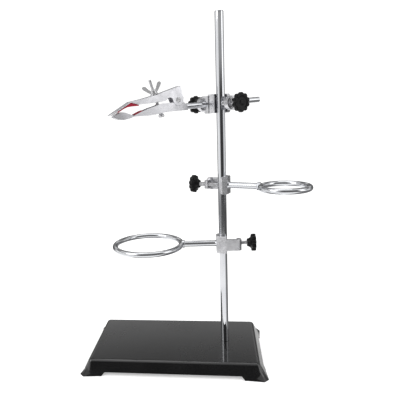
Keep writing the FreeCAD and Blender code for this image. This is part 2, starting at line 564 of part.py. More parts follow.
def make_flask_clamp():
    """The two-jaw clamp on its rod: pressed jaws, rivet, liners, bolt, washer and wing nut."""
    frame = clamp_frame()
    rod = doc.addObject("Part::Cylinder", "clamp_bar")
    bind(rod, Radius=cell("clamp_rod_diameter / 2"),
         Height=cell("clamp_rod_tail + clamp_rod_head"))
    rod.Placement = Placement(Vector(-size("clamp_rod_tail"), 0, 0), Rotation(Vector(0, 1, 0), 90))
    doc.recompute()
    ends = doc.addObject("Part::Chamfer", "clamp_rod")
    ends.Label = "clamp_rod"
    ends.Base = rod
    ends.Edges = [
        (i, 0.6, 0.6) for i, e in enumerate(rod.Shape.Edges, start=1)
        if isinstance(e.Curve, Part.Circle)
    ]
    doc.recompute()
    finish(ends, frame)

    width = "( clamp_rod_diameter + 2 * rod_fit + 2 * sheet_gauge )"
    wide = f"( {width} + 2 * sheet_gauge + 2 * pin_fit + jaw_play )"
    sole = "0 - clamp_rod_diameter / 2 - rod_fit"

    # lower jaw: a channel round the rod, tapering to a flat at the bend, then a leaf-shaped tip
    lower = new_body("lower_jaw")
    sheet_profile(lower, "lower_jaw_side", [
        ("channel_rear", f"{sole} - sheet_gauge"), ("80", f"{sole} - sheet_gauge"),
        ("88", "-6.3"), ("104", "-7.5"), ("low_bend_u - 1", "-6.9"),
        ("136", "-9.0"), ("143", "-9.8"), ("151", "-8.4"), ("low_tip_u", "-5.9"),
        ("low_tip_u", "-4.7"), ("152", "-2.2"), ("148", "-0.4"), ("144", "0.1"), ("140", "-0.6"),
        ("low_bend_u", "-5.6"), ("118", "-1.8"), ("104", "2.2"), ("91", "5.0"), ("89.5", "6.4"),
        ("63.5", "6.6"), ("pivot_u + 3.4", "pivot_w + 2.6"), ("pivot_u + 2", "pivot_w + 4.6"),
        ("pivot_u - 2.6", "pivot_w + 4.6"), ("pivot_u - 5.6", "pivot_w + 2.6"),
        ("pivot_u - 7", "pivot_w - 2"), ("channel_rear + 3", "3.4"), ("channel_rear", "0.5"),
    ], width)
    room = new_sketch(lower, "lower_jaw_room", "XZ_Plane")
    outline(room, [
        ("channel_rear - 1", sole), ("80", sole), ("88", "-5.3"), ("104", "-6.5"),
        ("low_bend_u - 2.5", "-5.9"), ("low_bend_u - 1.2", "-4.4"), ("118", "2"), ("91", "8"),
        ("88", "17"), ("channel_rear - 1", "17"),
    ])
    pocket(lower, room, f"{width} - 2 * sheet_gauge", midplane=True)
    leaf = new_sketch(lower, "lower_jaw_leaf", "XZ_Plane")
    outline(leaf, [
        ("low_bend_u + 2.5", "-5.6"), ("140", "-1.7"), ("144", "-1.0"), ("148", "-1.5"),
        ("148", "-12"), ("low_bend_u + 2.5", "-12"),
    ])
    pocket(lower, leaf, f"{width} - 2 * sheet_gauge", midplane=True)
    pin_hole = new_sketch(lower, "lower_jaw_pin_hole", "XZ_Plane")
    circle(pin_hole, "pivot_u", "pivot_w", "pin_diameter")
    pocket(lower, pin_hole, "30", midplane=True)
    slot = new_sketch(lower, "lower_jaw_bolt_slot", offset="-3")
    rectangle(slot, "bolt_foot_u - 3", "-2.9", "bolt_foot_u + 4.9", "2.9")
    pocket(lower, slot, "12")
    taper = new_sketch(lower, "lower_jaw_taper", offset="-20")
    for sign in ("", "0 - "):
        outline(taper, [
            ("low_taper_u", f"{sign}{width} / 2"), ("low_tip_u + 0.5", f"{sign}low_tip_half"),
            ("low_tip_u + 0.5", f"{sign}( {width} / 2 + 1 )"),
            ("low_taper_u", f"{sign}( {width} / 2 + 1 )"),
        ])
    pocket(lower, taper, "40", reverse=True)
    finish(lower, frame)

    # upper jaw: a wider channel over the lower one, with round ears on the rivet and a forked tip
    upper = new_body("upper_jaw")
    sheet_profile(upper, "upper_jaw_side", [
        ("55", "27.9"), ("93", "18.4"), ("101", "16.9"), ("112", "14.9"), ("124", "13.2"),
        ("bend_u", "12.4"), ("fork_root_u", "2.1"), ("jaw_tip_u", "-2.4"),
        ("jaw_tip_u - 0.4", "-3.4"), ("fork_root_u", "0.9"), ("bend_u", "11.1"),
        ("120", "7.9"), ("104", "8.3"), ("88", "8.9"), ("79.5", "9.9"), ("76.5", "12.4"),
        ("72.5", "13.5"), ("69.2", "12.2"), ("67.4", "7.6"), ("64.6", "3.4"), ("61.5", "1.8"),
        ("57.5", "1.8"), ("54.5", "3.6"), ("52", "7.4"), ("51", "12"),
    ], wide)
    room = new_sketch(upper, "upper_jaw_room", "XZ_Plane")
    outline(room, [
        ("48", "28.6"), ("93", "17.35"), ("101", "15.85"), ("112", "13.85"), ("124", "12.1"),
        ("128.5", "11.0"), ("120", "6"), ("100", "0"), ("48", "0"),
    ])
    pocket(upper, room, f"{wide} - 2 * sheet_gauge", midplane=True)
    fork = new_sketch(upper, "upper_jaw_fork", offset="-20")
    rectangle(fork, "fork_root_u", "0 - fork_slot / 2", "jaw_tip_u + 2", "fork_slot / 2")
    pocket(upper, fork, "60", reverse=True)
    pin_hole = new_sketch(upper, "upper_jaw_pin_hole", "XZ_Plane")
    circle(pin_hole, "pivot_u", "pivot_w", "pin_diameter + 2 * pin_fit")
    pocket(upper, pin_hole, "30", midplane=True)
    slot = new_sketch(upper, "upper_jaw_bolt_slot", offset="30")
    rectangle(slot, "89.4", "-2.7", "96.6", "2.7")
    pocket(upper, slot, "20")
    finish(upper, frame)

    pin = new_body("jaw_pivot_pin")
    shank = new_sketch(pin, "pin_shank", "XZ_Plane")
    circle(shank, "pivot_u", "pivot_w", "pin_diameter")
    pad(pin, shank, f"{wide} + pin_play", midplane=True)
    for name, sign in (("pin_near_head", 1), ("pin_far_head", -1)):
        head = new_sketch(pin, name, "XZ_Plane", offset=f"{sign} * ( {wide} + pin_play ) / 2")
        circle(head, "pivot_u", "pivot_w", "pin_head")
        pad(pin, head, "pin_head_height", reverse=sign < 0)
        dress(pin, "Fillet", "pin_head_round", lambda e, s=sign: isinstance(e.Curve, Part.Circle)
              and e.Curve.Radius > 3 and -s * e.BoundBox.YMin > 7.4)
    finish(pin, frame)

    # the liners: soft pads in each jaw's bend
    liner = new_body("upper_liner")
    sheet_profile(liner, "upper_liner_side", [
        ("119", "7.3"), ("bend_u", "10.9"), ("150.5", "1.1"), ("150", "0"),
        ("141.5", "4.0"), ("137", "5.6"), ("130", "6.2"), ("120", "6.2"),
    ], f"{wide} - 2 * liner_side_gap")
    finish(liner, frame)
    liner = new_body("lower_liner")
    sheet_profile(liner, "lower_liner_side", [
        ("113.5", "-6.0"), ("low_bend_u - 2.6", "-5.8"), ("low_bend_u - 1.3", "-4.4"),
        ("low_bend_u - 1.3", "-4.2"), ("118", "-0.9"), ("113.5", "0.2"),
    ], f"{width} - 2 * sheet_gauge - 0.2")
    finish(liner, frame)

    # the adjusting bolt swings on its ball head below the lower jaw
    bolt_frame = frame.multiply(Placement(
        Vector(size("bolt_foot_u"), 0, size("bolt_foot_w")),
        Rotation(Vector(0, 1, 0), size("bolt_lean")),
    ))
    shaft = doc.addObject("Part::Cylinder", "bolt_shaft")
    bind(shaft, Radius=cell("bolt_diameter / 2"), Height=cell("bolt_length"))
    ball = doc.addObject("Part::Sphere", "bolt_ball")
    bind(ball, Radius=cell("ball_radius"), Angle1="-20")
    bolt = doc.addObject("Part::Fuse", "jaw_bolt")
    bolt.Label = "jaw_bolt"
    bolt.Base, bolt.Tool = shaft, ball
    doc.recompute()
    finish(bolt, bolt_frame)

    washer = new_body("jaw_washer")
    ring = new_sketch(washer, "jaw_washer_ring", offset="nut_seat")
    circle(ring, "0", "0", "jaw_washer_diameter")
    circle(ring, "0", "0", "bolt_diameter + 2 * thread_gap")
    pad(washer, ring, "jaw_washer_gauge")
    finish(washer, bolt_frame)

    nut = new_body("wing_nut")
    seat = "( nut_seat + jaw_washer_gauge + seat_play )"
    hub = new_sketch(nut, "wing_nut_hub", offset=seat)
    circle(hub, "0", "0", "wing_hub_diameter")
    pad(nut, hub, "wing_hub_height")
    wings = new_sketch(nut, "wing_nut_wings", "XZ_Plane", tilt=((0, 1, 0), "wing_turn"))
    for sign in ("", "0 - "):
        outline(wings, [
            (f"{sign}2.8", f"{seat} + 0.6"), (f"{sign}6.2", f"{seat} + 2.2"),
            (f"{sign}wing_span / 2", f"{seat} + wing_shoulder"),
            (f"{sign}( wing_span / 2 - 1.2 )", f"{seat} + wing_tall - 1"),
            (f"{sign}( wing_span / 2 - 4.4 )", f"{seat} + wing_tall - 1.2"),
            (f"{sign}2.8", f"{seat} + wing_hub_height - 0.4"),
        ])
    pad(nut, wings, "wing_gauge", midplane=True)
    bore = new_sketch(nut, "wing_nut_bore", offset=f"{seat} - 1")
    circle(bore, "0", "0", "bolt_diameter + 2 * thread_gap")
    pocket(nut, bore, "wing_tall + 4", reverse=True)
    finish(nut, bolt_frame)


make_base()
make_upright()
make_ring_clamp("lower")
make_ring_clamp("upper")
make_bosshead()
make_flask_clamp()
doc.recompute()

for item in doc.Objects:
    if "Invalid" in item.State or "Error" in item.State:
        raise RuntimeError(f"{item.Name} failed: {item.State}")
for part in finished:
    shape = part.Shape
    if shape.isNull() or not shape.isValid() or len(shape.Solids) != 1:
        raise RuntimeError(f"{part.Label}: shape is null, not valid or not one solid")

os.makedirs("parts", exist_ok=True)
for part in finished:
    part.Shape.exportStep(f"parts/{part.Label}.step")
    box = part.Shape.BoundBox
    print(f"{part.Label:22s} {part.Shape.Volume:10.1f} mm3  "
          f"{box.XMin:8.2f} {box.YMin:8.2f} {box.ZMin:8.2f}  "
          f"{box.XMax:8.2f} {box.YMax:8.2f} {box.ZMax:8.2f}")
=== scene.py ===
import json
import math

import bmesh
import bpy
from mathutils import Matrix, Vector


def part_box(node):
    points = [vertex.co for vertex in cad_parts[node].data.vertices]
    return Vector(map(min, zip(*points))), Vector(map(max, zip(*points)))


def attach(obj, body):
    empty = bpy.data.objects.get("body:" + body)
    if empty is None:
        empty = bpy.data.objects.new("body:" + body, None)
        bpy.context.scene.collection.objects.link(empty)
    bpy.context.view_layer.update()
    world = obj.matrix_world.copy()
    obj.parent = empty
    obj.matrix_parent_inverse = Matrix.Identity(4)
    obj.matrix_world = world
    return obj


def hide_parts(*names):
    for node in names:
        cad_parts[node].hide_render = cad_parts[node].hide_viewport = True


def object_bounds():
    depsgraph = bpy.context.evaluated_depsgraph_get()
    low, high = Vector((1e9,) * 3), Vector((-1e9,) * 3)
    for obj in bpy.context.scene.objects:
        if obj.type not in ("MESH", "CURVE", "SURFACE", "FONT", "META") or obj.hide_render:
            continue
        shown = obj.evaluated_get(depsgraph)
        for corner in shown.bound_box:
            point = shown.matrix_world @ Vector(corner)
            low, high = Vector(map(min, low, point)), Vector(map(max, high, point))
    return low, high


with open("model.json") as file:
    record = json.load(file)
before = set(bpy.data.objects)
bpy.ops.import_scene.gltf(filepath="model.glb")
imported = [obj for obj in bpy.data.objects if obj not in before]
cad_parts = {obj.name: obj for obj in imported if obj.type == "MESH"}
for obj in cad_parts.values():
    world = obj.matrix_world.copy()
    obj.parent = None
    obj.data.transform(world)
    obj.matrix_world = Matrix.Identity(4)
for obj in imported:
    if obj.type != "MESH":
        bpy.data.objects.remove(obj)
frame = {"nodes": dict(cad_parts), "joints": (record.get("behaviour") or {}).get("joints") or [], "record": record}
cad_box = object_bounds()
nodes, record = frame["nodes"], frame["record"]
joints = {joint["name"]: joint for joint in frame["joints"]}
mounts = {mount["name"]: mount for mount in record["mounts"]}
body_of = {n: body for body, members in record["behaviour"]["bodies"].items() for n in members}
slot_of = {part["node"]: part["material_slot"] for part in record["subparts"]}
MM = 0.001
UP = Vector((0, 0, 1))


# ---- placing -----------------------------------------------------------------------------

def axis_frame(origin, axis, side=UP):
    """A matrix whose Z runs along axis from origin, and whose X lies nearest to side."""
    z = Vector(axis).normalized()
    x = side - z * side.dot(z)
    if x.length < 1e-3:
        x = Vector((1, 0, 0)) - z * z.x
    x.normalize()
    turn = Matrix((x, z.cross(x), z)).transposed()
    return Matrix.Translation(Vector(origin)) @ turn.to_4x4()


def reach(node, origin, axis):
    """How far a CAD node runs along an axis from origin, and its largest radius about it."""
    z = Vector(axis).normalized()
    offsets = [v.co - Vector(origin) for v in nodes[node].data.vertices]
    along = [o.dot(z) for o in offsets]
    return min(along), max(along), max((o - z * o.dot(z)).length for o in offsets)


# ---- meshes ------------------------------------------------------------------------------

def grid(rings, closed_ends=True):
    """Vertices and faces of a tube through rings of equal length, its ends closed by poles."""
    count = len(rings[0])
    verts = [v for ring in rings for v in ring]
    faces = []
    for row in range(len(rings) - 1):
        for i in range(count):
            j = (i + 1) % count
            a, b = row * count, (row + 1) * count
            faces.append((a + i, a + j, b + j, b + i))
    if closed_ends:
        for row, order in ((0, -1), (len(rings) - 1, 1)):
            middle = sum((Vector(v) for v in rings[row]), Vector()) / count
            verts.append(tuple(middle))
            for i in range(count):
                edge = (row * count + i, row * count + (i + 1) % count)[::order]
                faces.append((*edge, len(verts) - 1))
    return verts, faces


def lathe(profile, segments=64, radius_at=None):
    """A turned solid: profile is a list of (z, radius) from one end to the other, in metres."""
    rings = []
    for z, r in profile:
        ring = []
        for i in range(segments):
            angle = 2 * math.pi * i / segments
            radius = radius_at(z, angle, r) if radius_at else r
            ring.append((radius * math.cos(angle), radius * math.sin(angle), z))
        rings.append(ring)
    return grid(rings)


def thread(start, end, radius, pitch, chamfer, segments=40, steps=8):
    """A right-handed screw thread between two heights, pointed at both ends."""
    depth = 0.56 * pitch
    rows = max(2, round((end - start) / pitch * steps))
    profile = [(start + (end - start) * i / rows, radius) for i in range(rows + 1)]

    def crest(z, angle, r):
        phase = ((z - start) / pitch - angle / (2 * math.pi)) % 1
        wave = min(1.0, max(0.0, 1.25 * abs(2 * phase - 1) - 0.1))
        taper = max(0.0, chamfer - min(z - start, end - z))
        return min(r - depth * wave, r - taper)

    return lathe(profile, segments, crest)


def torus(radius, wire, around=192, section=28):
    """A ring of round wire, flat in the XY plane."""
    rings = []
    for i in range(around):
        a = 2 * math.pi * i / around
        ring = []
        for j in range(section):
            b = 2 * math.pi * j / section
            r = radius + wire * math.cos(b)
            ring.append((r * math.cos(a), r * math.sin(a), wire * math.sin(b)))
        rings.append(ring)
    return grid(rings + rings[:1], closed_ends=False)


def slab(outline, thickness):
    """A flat plate: outline is (x, z) in its own plane, and the thickness runs along y."""
    count = len(outline)
    verts = [(x, s * thickness / 2, z) for s in (-1, 1) for x, z in outline]
    faces = [tuple(range(count)), tuple(reversed(range(count, 2 * count)))]
    faces += [(i, i + count, (i + 1) % count + count, (i + 1) % count) for i in range(count)]
    return verts, faces


def rounded(points, steps=6):
    """Points along a closed smooth curve through the given corners."""
    out = []
    count = len(points)
    for i in range(count):
        p = [Vector(points[(i + k) % count]) for k in (-1, 0, 1, 2)]
        for s in range(steps):
            t = s / steps
            out.append(0.5 * (
                2 * p[1] + (p[2] - p[0]) * t + (2 * p[0] - 5 * p[1] + 4 * p[2] - p[3]) * t ** 2
                + (3 * p[1] - p[0] - 3 * p[2] + p[3]) * t ** 3
            ))
    return [tuple(v) for v in out]


def to_object(name, bm, smooth_angle=35):
    """A mesh object, smooth but for the edges that are sharper than smooth_angle."""
    bmesh.ops.recalc_face_normals(bm, faces=bm.faces)
    mesh = bpy.data.meshes.new(name)
    bm.to_mesh(mesh)
    bm.free()
    mesh.shade_smooth()
    mesh.set_sharp_from_angle(angle=math.radians(smooth_angle))
    obj = bpy.data.objects.new(name, mesh)
    bpy.context.scene.collection.objects.link(obj)
    normals = obj.modifiers.new("normals", "WEIGHTED_NORMAL")
    normals.keep_sharp = True
    return obj


def piece(name, shells, node, bevel=0.0, smooth_angle=35):
    """A new piece made of (mesh data, matrix) shells: it stands for a CAD node."""
    bm = bmesh.new()
    for (verts, faces), matrix in shells:
        part = bmesh.new()
        made = [part.verts.new(matrix @ Vector(v)) for v in verts]
        for face in faces:
            part.faces.new([made[i] for i in face])
        bmesh.ops.remove_doubles(part, verts=part.verts, dist=1e-7)
        bmesh.ops.recalc_face_normals(part, faces=part.faces)
        temp = bpy.data.meshes.new("shell")
        part.to_mesh(temp)
        part.free()
        bm.from_mesh(temp)
        bpy.data.meshes.remove(temp)
    if bevel:
        soften(bm, bevel)
    obj = to_object(name, bm, smooth_angle)
    settle(obj, node)


def soften(bm, width, segments=2, angle=28):
    """Rounds the edges that are sharper than angle."""
    edges = [
        e for e in bm.edges
        if len(e.link_faces) == 2 and math.degrees(e.calc_face_angle(0)) > angle
    ]
    bmesh.ops.bevel(
        bm, geom=edges, offset=width, offset_type="OFFSET", segments=segments,
        profile=0.5, affect="EDGES", clamp_overlap=True,
    )


def refine(node, name, width, segments=2):
    """The CAD node's own shape with its edges rounded, as a piece that stands for it."""
    bm = bmesh.new()
    bm.from_mesh(nodes[node].data)
    bmesh.ops.remove_doubles(bm, verts=bm.verts, dist=2e-6)
    bmesh.ops.dissolve_limit(
        bm, angle_limit=math.radians(0.6), verts=bm.verts, edges=bm.edges
    )
    soften(bm, width, segments)
    settle(to_object(name, bm), node)


def settle(obj, node):
    """Gives a piece its CAD node's body, slot and material, and puts it in the node's place."""
    obj.data.materials.append(MATERIALS[slot_of[node]])
    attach(obj, body_of[node])
    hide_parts(node)


# ---- materials ---------------------------------------------------------------------------

# a Mix node's colour sockets, by place: its float, vector and colour sockets share names
COLOUR_A, COLOUR_B, COLOUR_RESULT = 6, 7, 2


class Nodes:
    """A material's node tree, with a principled shader at its end."""

    def __init__(self, name, **sockets):
        self.material = bpy.data.materials.new(name)
        self.material.use_nodes = True
        self.tree = self.material.node_tree
        self.shader = self.tree.nodes["Principled BSDF"]
        for key, value in sockets.items():
            self.shader.inputs[key.replace("_", " ")].default_value = value
        self.where = self.add("ShaderNodeTexCoord").outputs["Object"]

    def add(self, kind, links=(), **values):
        node = self.tree.nodes.new(kind)
        for key, value in values.items():
            setattr(node, key, value)
        for socket, source in dict(links).items():
            self.put(node.inputs[socket], source)
        return node

    def put(self, socket, source):
        if isinstance(source, bpy.types.NodeSocket):
            self.tree.links.new(source, socket)
        else:
            socket.default_value = source

    def noise(self, scale, detail=3.0, stretch=None):
        where = self.where
        if stretch:
            where = self.add(
                "ShaderNodeMapping", {"Vector": where, "Scale": stretch}
            ).outputs["Vector"]
        links = {"Vector": where, "Scale": scale, "Detail": detail}
        return self.add("ShaderNodeTexNoise", links).outputs["Fac"]

    def cells(self, scale, feature="F1"):
        links = {"Vector": self.where, "Scale": scale}
        return self.add("ShaderNodeTexVoronoi", links, feature=feature).outputs["Distance"]

    def spread(self, source, low, high, start=0.3, stop=0.7):
        """Maps a value from start..stop to low..high, held at both ends."""
        links = {
            "Value": source, "From Min": start, "From Max": stop, "To Min": low, "To Max": high,
        }
        return self.add("ShaderNodeMapRange", links).outputs["Result"]

    def tint(self, source, first, second):
        """Mixes two colours by a value from 0 to 1."""
        node = self.add("ShaderNodeMix", data_type="RGBA")
        self.put(node.inputs["Factor"], source)
        node.inputs[COLOUR_A].default_value = (*first, 1)
        node.inputs[COLOUR_B].default_value = (*second, 1)
        return node.outputs[COLOUR_RESULT]

    def bump(self, height, distance, strength=1.0, under=None):
        links = {"Height": height, "Distance": distance, "Strength": strength}
        if under:
            links["Normal"] = under
        return self.add("ShaderNodeBump", links).outputs["Normal"]

    def link(self, **sockets):
        for key, source in sockets.items():
            self.put(self.shader.inputs[key.replace("_", " ")], source)
        return self.material


def chrome():
    m = Nodes("polished_chrome", Metallic=1.0)
    smudge = m.noise(28.0, 4.0)
    scratch = m.noise(900.0, 2.0, stretch=(1.0, 1.0, 0.04))
    return m.link(
        Base_Color=m.tint(m.spread(smudge, 0, 1), (0.74, 0.75, 0.77), (0.66, 0.67, 0.70)),
        Roughness=m.spread(smudge, 0.05, 0.13),
        Normal=m.bump(scratch, 0.00001, 0.12),
    )


def casting():
    m = Nodes("bright_casting", Metallic=1.0)
    grain, patches, pits = m.noise(1500.0, 4.0), m.noise(160.0, 3.0), m.cells(700.0)
    skin = m.bump(grain, 0.00022, 0.55)
    return m.link(
        Base_Color=m.tint(m.spread(patches, 0, 1), (0.78, 0.78, 0.80), (0.60, 0.60, 0.62)),
        Roughness=m.spread(grain, 0.20, 0.38),
        Normal=m.bump(m.spread(pits, 0, 1, 0.05, 0.22), 0.0001, 0.5, skin),
    )


def plated():
    m = Nodes("zinc_plated_steel", Metallic=1.0)
    patches, grain = m.noise(300.0, 3.0), m.noise(2200.0, 2.0)
    return m.link(
        Base_Color=m.tint(m.spread(patches, 0, 1), (0.80, 0.80, 0.81), (0.66, 0.66, 0.67)),
        Roughness=m.spread(patches, 0.28, 0.44),
        Normal=m.bump(grain, 0.00004, 0.4),
    )


def pressed_plate():
    m = Nodes("satin_zinc_plate", Metallic=1.0)
    spangle, brush = m.cells(240.0), m.noise(1400.0, 2.0, stretch=(1.0, 1.0, 0.25))
    patches = m.noise(90.0, 3.0)
    return m.link(
        Base_Color=m.tint(
            m.spread(spangle, 0, 1, 0.1, 0.8), (0.80, 0.80, 0.83), (0.74, 0.74, 0.77)
        ),
        Roughness=m.spread(patches, 0.24, 0.38),
        Normal=m.bump(brush, 0.00003, 0.5),
    )


def moulding():
    m = Nodes("black_moulding", Specular_IOR_Level=0.20, Coat_Weight=0.06, Coat_Roughness=0.25)
    grain, wear = m.noise(1300.0, 3.0), m.noise(260.0, 4.0)
    return m.link(
        Base_Color=m.tint(
            m.spread(wear, 0, 1, 0.45, 0.8), (0.002, 0.002, 0.0022), (0.007, 0.007, 0.0075)
        ),
        Roughness=m.spread(wear, 0.28, 0.46),
        Normal=m.bump(grain, 0.00006, 0.5),
    )


def liner():
    m = Nodes("red_liner", Specular_IOR_Level=0.3, Sheen_Weight=0.05, Sheen_Roughness=0.5)
    fibre, patches = m.noise(2600.0, 4.0), m.noise(320.0, 3.0)
    return m.link(
        Base_Color=m.tint(m.spread(patches, 0, 1), (0.34, 0.005, 0.028), (0.22, 0.003, 0.017)),
        Roughness=m.spread(fibre, 0.55, 0.78),
        Normal=m.bump(fibre, 0.00018, 0.7),
    )


def enamel():
    m = Nodes("black_enamel", Coat_Weight=1.0, Coat_Roughness=0.04, Coat_IOR=1.5)
    peel, haze, dust = m.noise(420.0, 2.0), m.noise(22.0, 4.0), m.noise(1900.0, 2.0)
    return m.link(
        Base_Color=m.tint(
            m.spread(dust, 0, 1, 0.74, 0.80), (0.003, 0.003, 0.0033), (0.03, 0.03, 0.03)
        ),
        Roughness=m.spread(haze, 0.16, 0.30),
        Normal=m.bump(peel, 0.00008, 0.10),
    )


MATERIALS = {
    "base_paint": enamel(), "chromed_steel": chrome(), "bright_casting": casting(),
    "plated_steel": plated(), "knob_moulding": moulding(), "jaw_plate": pressed_plate(),
    "jaw_liner": liner(),
}


# ---- base and upright rod ----------------------------------------------------------------

ROUGH_PITCH, FINE_PITCH, BOLT_PITCH = 1.5 * MM, 1.0 * MM, 0.7 * MM
SPIGOT_RADIUS, BOLT_RADIUS = 5.0 * MM, 2.0 * MM

low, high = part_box("upright_rod")
rod_axis = Vector(((low.x + high.x) / 2, (low.y + high.y) / 2, 0))


def upright():
    """The rod, with a domed top and a threaded spigot through the base."""
    radius, top = (high.x - low.x) / 2, high.z
    base_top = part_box("base_casting")[1].z
    rod = lathe([
        (base_top, radius - 0.3 * MM), (base_top + 0.3 * MM, radius),
        (base_top + 2 * MM, radius), (top - 2 * MM, radius), (top - 1.0 * MM, radius),
        (top - 0.45 * MM, radius - 0.3 * MM), (top - 0.1 * MM, radius - 0.8 * MM),
        (top, radius - 1.4 * MM),
    ], 96)
    spigot = thread(low.z, base_top + 0.5 * MM, SPIGOT_RADIUS, ROUGH_PITCH, 1.0 * MM)
    place = Matrix.Translation(rod_axis)
    piece("chromed_upright", [(rod, place), (spigot, place)], "upright_rod")


refine("base_casting", "enamelled_base", 1.1 * MM, 3)
refine("rod_washer", "spigot_washer", 0.25 * MM)
refine("rod_nut", "spigot_nut", 0.5 * MM)
upright()


# ---- thumbscrews -------------------------------------------------------------------------

KNOB_LOBES = 10
LOBE_CIRCLE, LOBE_RADIUS, CORE_RADIUS = 10.0 * MM, 3.1 * MM, 11.0 * MM
VALLEY_SOFTNESS = 0.35 * MM
HUB_LENGTH = 6.0


def softened(radius):
    """The radius, eased so that it never falls below the knob's core."""
    above = (radius - CORE_RADIUS) / VALLEY_SOFTNESS
    return math.log(math.exp(above) + 1) * VALLEY_SOFTNESS + CORE_RADIUS


def lobed(angle, inset):
    """The scalloped outline's radius at an angle, moved in by inset."""
    half = math.pi / KNOB_LOBES
    a = (angle + half) % (2 * half) - half
    across = LOBE_CIRCLE * math.sin(a)
    edge = LOBE_CIRCLE * math.cos(a) + math.sqrt(max(0.0, LOBE_RADIUS ** 2 - across ** 2))
    crown = LOBE_CIRCLE + LOBE_RADIUS
    return softened(edge) * crown / softened(crown) - inset


def knob_mesh(face, hub):
    """A lobed knob along +Z: a flared hub, then a head with rounded rims and a dished face.

    Lengths are in millimetres. A row is a height and a radius, or on the lobes a height and
    how far the outline is moved in.
    """
    plain = [
        (0.0, 5.3), (0.5, 5.9), (0.35 * hub, 6.2), (0.7 * hub, 7.4), (0.92 * hub, 9.0),
    ]
    lobes = [
        (hub, 1.5), (hub + 0.12, 0.9), (hub + 0.4, 0.4), (hub + 0.9, 0.08), (hub + 1.4, 0.0),
        (face - 1.6, 0.0), (face - 1.0, 0.1), (face - 0.45, 0.45), (face - 0.12, 1.0),
        (face, 1.7),
    ]
    dish = [
        (face, 8.9), (face - 0.15, 8.4), (face - 0.7, 7.9), (face - 0.9, 7.2),
        (face - 0.95, 4.2), (face - 0.75, 3.7), (face - 0.25, 3.2), (face - 0.1, 2.6),
        (face - 0.1, 0.9),
    ]
    segments = KNOB_LOBES * 20
    turn = [2 * math.pi * i / segments for i in range(segments)]
    rings = []
    for outline, rows in ((None, plain), (lobed, lobes), (None, dish)):
        for z, value in rows:
            radii = [outline(a, value * MM) if outline else value * MM for a in turn]
            rings.append([
                (r * math.cos(a), r * math.sin(a), z * MM) for r, a in zip(radii, turn)
            ])
    return grid(rings)


def thumbscrew(name):
    """A threaded screw and the lobed knob on its end, along the knob's own axis."""
    turn = joints[name + "_knob_turn"]
    axis, origin = Vector(turn["axis"]), Vector(turn["pos_m"])
    place = axis_frame(origin, axis)
    tip, tail, radius = reach(name + "_screw", origin, axis)
    screw = thread(tip, tail, radius, FINE_PITCH, 0.7 * MM)
    piece(name + "_threaded_screw", [(screw, place)], name + "_screw")
    start, end, _ = reach(name + "_knob", origin, axis)
    knob = knob_mesh((end - start) / MM, HUB_LENGTH)
    seated = place @ Matrix.Translation((0, 0, start))
    piece(name + "_lobed_knob", [(knob, seated)], name + "_knob", smooth_angle=50)


for name in ("lower_clamp", "upper_clamp", "upright", "crossbar"):
    thumbscrew(name)


# ---- ring clamps and bosshead ------------------------------------------------------------

WIRE, COLLAR = 4.0 * MM, 6.0 * MM
RING_PLAY = 0.02 * MM
CAST_EDGE = 0.9 * MM


def ring_clamp(side):
    """A wire ring with its collar, the handle that runs to the rod, and the casting there."""
    centre = Vector(mounts[side + "_ring_seat"]["pos_m"]) - UP * WIRE
    outward = (centre - Vector((rod_axis.x, rod_axis.y, centre.z))).normalized()
    start, end, _ = reach(side + "_ring", centre, outward)
    radius = end - WIRE - RING_PLAY
    along = axis_frame(centre, outward)
    joint = -radius
    collar = lathe([
        (start, COLLAR - 0.9 * MM), (start + 0.15 * MM, COLLAR - 0.4 * MM),
        (start + 0.6 * MM, COLLAR), (joint - 1.6 * MM, COLLAR),
        (joint - 0.9 * MM, COLLAR - 0.25 * MM), (joint - 0.2 * MM, COLLAR - 0.9 * MM),
        (joint + 0.6 * MM, COLLAR - 1.7 * MM), (joint + 1.4 * MM, 1.8 * MM),
    ], 56)
    ring = torus(radius, WIRE)
    piece(side + "_support_ring", [
        (ring, axis_frame(centre, UP, outward)), (collar, along),
    ], side + "_ring")
    near, far, thick = reach(side + "_ring_handle", centre, outward)
    bar = lathe([
        (near, thick + 1.1 * MM), (near + 0.25 * MM, thick + 1.0 * MM),
        (near + 0.8 * MM, thick + 0.45 * MM), (near + 1.5 * MM, thick + 0.1 * MM),
        (near + 2.2 * MM, thick), (far - 1 * MM, thick), (far, thick),
    ], 64)
    piece(side + "_handle_bar", [(bar, along)], side + "_ring_handle")
    refine(side + "_clamp_body", side + "_cast_clamp", CAST_EDGE, 3)


ring_clamp("lower")
ring_clamp("upper")
refine("boss_body", "cast_bosshead", CAST_EDGE, 3)


# ---- flask clamp -------------------------------------------------------------------------

def clamp_rod():
    """The chromed rod behind the jaws, with rounded ends."""
    roll = joints["clamp_roll"]
    origin, axis = Vector(roll["pos_m"]), Vector(roll["axis"])
    tail, head, radius = reach("clamp_rod", origin, axis)
    rod = lathe([
        (tail, radius - 1.0 * MM), (tail + 0.1 * MM, radius - 0.6 * MM),
        (tail + 0.6 * MM, radius), (tail + 3 * MM, radius), (head - 3 * MM, radius),
        (head - 0.6 * MM, radius), (head - 0.1 * MM, radius - 0.6 * MM),
        (head, radius - 1.0 * MM),
    ], 72)
    piece("chromed_clamp_rod", [(rod, axis_frame(origin, axis))], "clamp_rod")


def rivet(pin_at, across):
    """The pin through both jaws, with a domed and dimpled head at each end."""
    start, end, radius = reach("jaw_pivot_pin", pin_at, across)
    shank, head_height = 2.0 * MM, 1.2 * MM
    head = [
        (0.75 * MM, 0.9 * MM), (0.55 * MM, 1.25 * MM), (0.1 * MM, 1.6 * MM), (0.0, 2.1 * MM),
        (0.1 * MM, 2.7 * MM), (0.4 * MM, radius - 0.25 * MM), (0.85 * MM, radius),
        (head_height, radius), (head_height + 0.02 * MM, shank),
    ]
    profile = [(start + z, r) for z, r in head] + [(end - z, r) for z, r in reversed(head)]
    piece("jaw_rivet", [(lathe(profile, 48), axis_frame(pin_at, across))], "jaw_pivot_pin")


